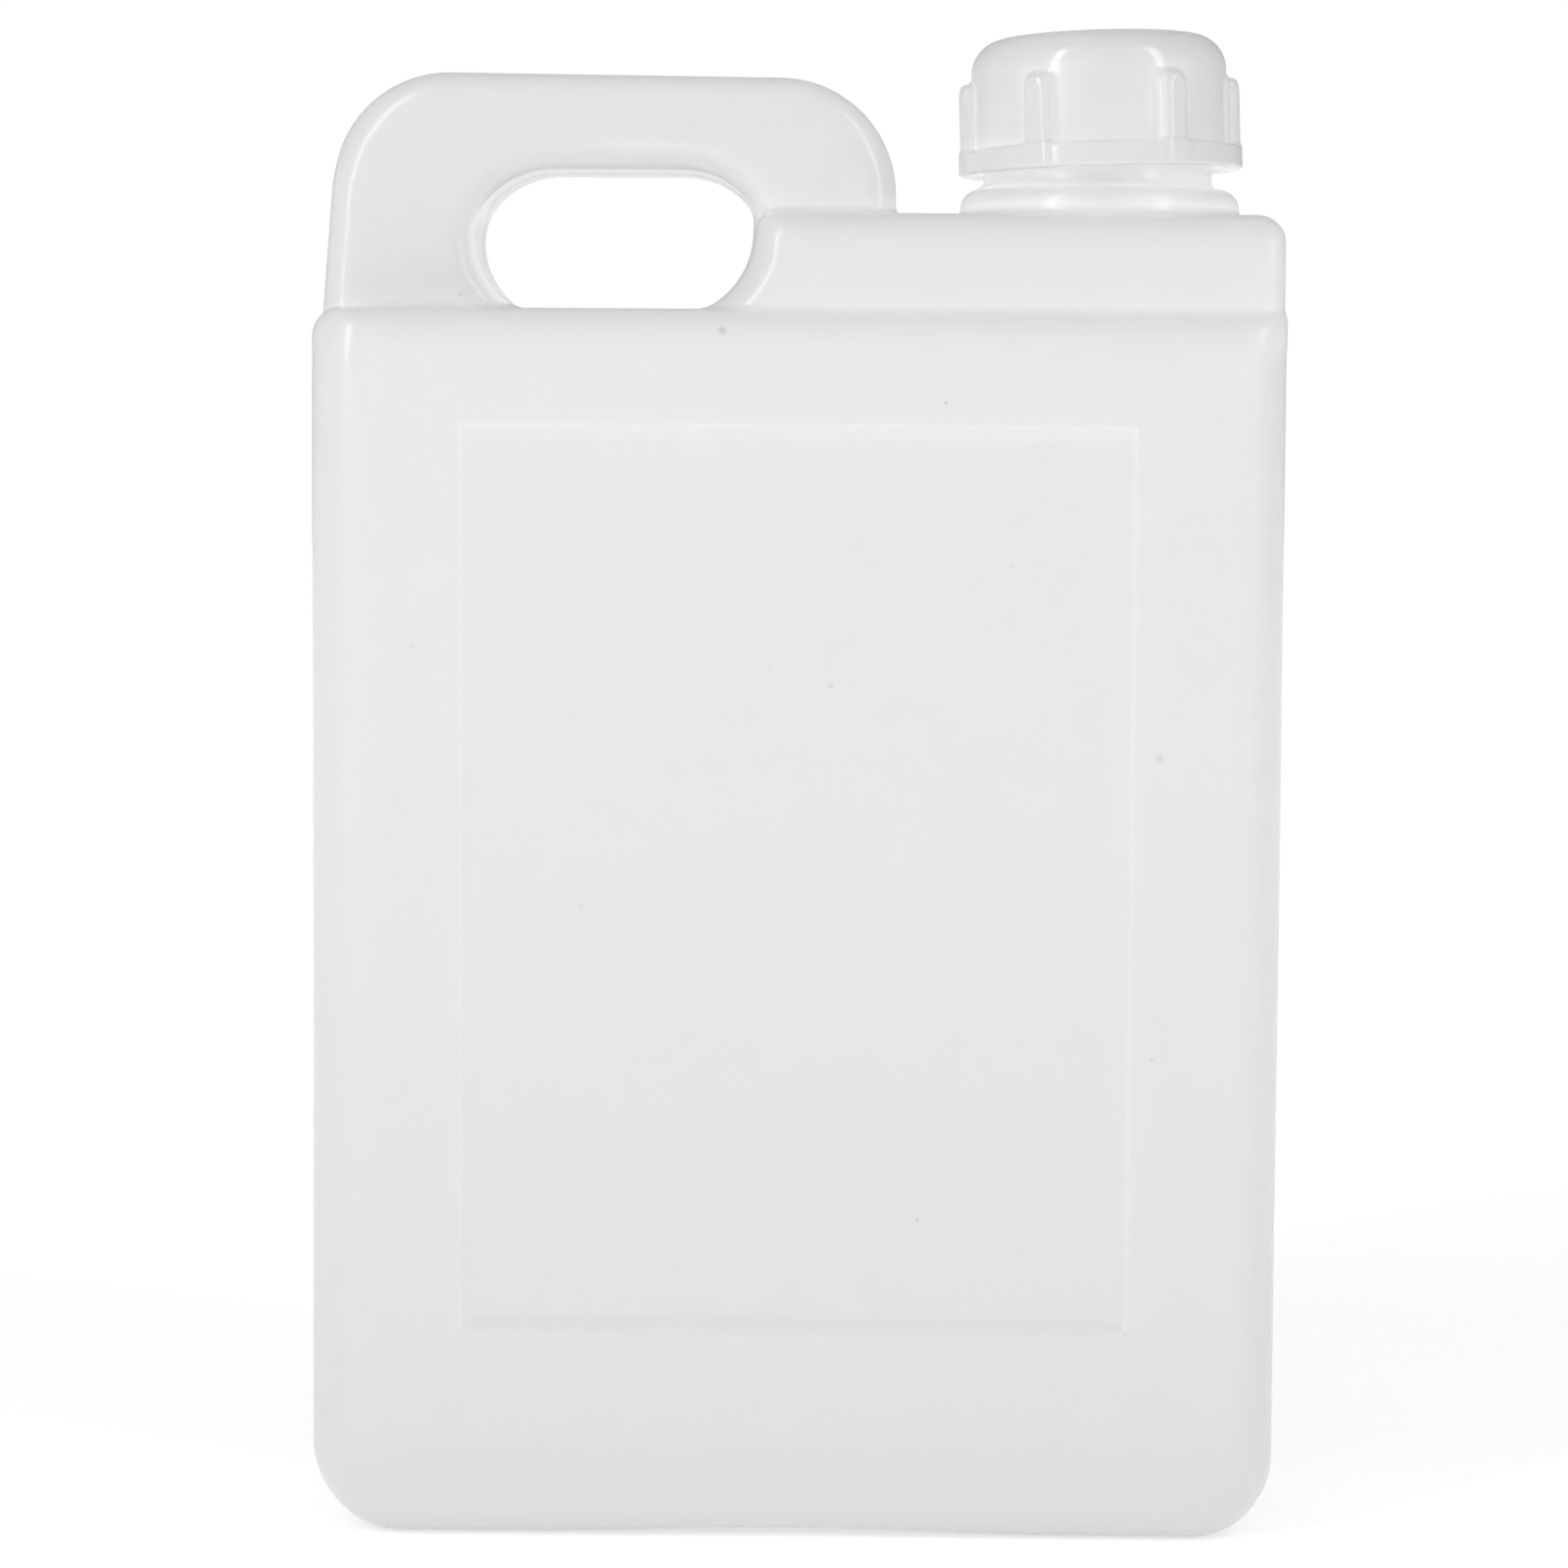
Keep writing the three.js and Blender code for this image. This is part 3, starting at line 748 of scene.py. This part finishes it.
def make_world():
    """A white backdrop for the camera, and for all else grey light that is weakest near the back."""
    world = bpy.data.worlds.new("studio")
    bpy.context.scene.world = world
    world.use_nodes = True
    nodes = Nodes(world)
    parts = nodes.add("SeparateXYZ", Vector=nodes.add("TexCoord")).node.outputs
    colour = nodes.ramp(nodes.scaled(parts["Y"], 0.5, 0.5), WORLD_FROM_FRONT_TO_BACK)
    strength = nodes.add("MapRange", Value=parts["Z"], From_Min=WORLD_OVERHEAD_FROM,
                         To_Min=1.0, To_Max=WORLD_OVERHEAD)
    light = nodes.tree.nodes["Background"]
    nodes.wire(light, Color=colour, Strength=strength)
    backdrop = nodes.add("Background", Color=WHITE)
    choice = nodes.add("MixShader", i0=nodes.add("LightPath"), i1=light.outputs[0], i2=backdrop)
    nodes.wire(nodes.tree.nodes["World Output"], Surface=choice)


def make_floor():
    """A pale floor that glows a little more with distance, so that its edge doesn't show; its weaker
    glow near the bottle is a painted pool of shade round it.
    """
    mesh = bpy.data.meshes.new("floor")
    signs = ((-1, -1), (1, -1), (1, 1), (-1, 1))
    corners = [(FLOOR_REACH * x, FLOOR_REACH * y, 0) for x, y in signs]
    mesh.from_pydata(corners, [], [(0, 1, 2, 3)])
    material = bpy.data.materials.new("pale_floor")
    material.use_nodes = True
    nodes = Nodes(material)
    place = nodes.add("TexCoord", output=3)
    away = nodes.add("VectorMath", output=1, settings={"operation": "LENGTH"}, i0=place)
    glow = nodes.add("MapRange", Value=away, From_Min=FLOOR_NEAR, From_Max=FLOOR_FAR,
                     To_Min=FLOOR_GLOW_NEAR, To_Max=FLOOR_GLOW_FAR)
    nodes.wire(nodes.tree.nodes["Principled BSDF"], Roughness=FLOOR_ROUGHNESS,
               Base_Color=(FLOOR_GREY, FLOOR_GREY, FLOOR_GREY, 1), Specular_IOR_Level=0.0,
               Emission_Color=WHITE, Emission_Strength=glow)
    mesh.materials.append(material)
    floor = add_object("floor", mesh)


make_camera()
bottle_piece = make_bottle()
cap_piece = make_cap()
bottle_piece.data.materials.append(bottle_plastic())
cap_piece.data.materials.append(cap_plastic())
make_world()
make_floor()
for lamp in LAMPS:
    soft_box(*lamp)
bpy.context.scene.view_settings.view_transform = "Standard"
bpy.context.scene.cycles.max_bounces = LIGHT_BOUNCES
bpy.context.scene.cycles.diffuse_bounces = DIFFUSE_BOUNCES
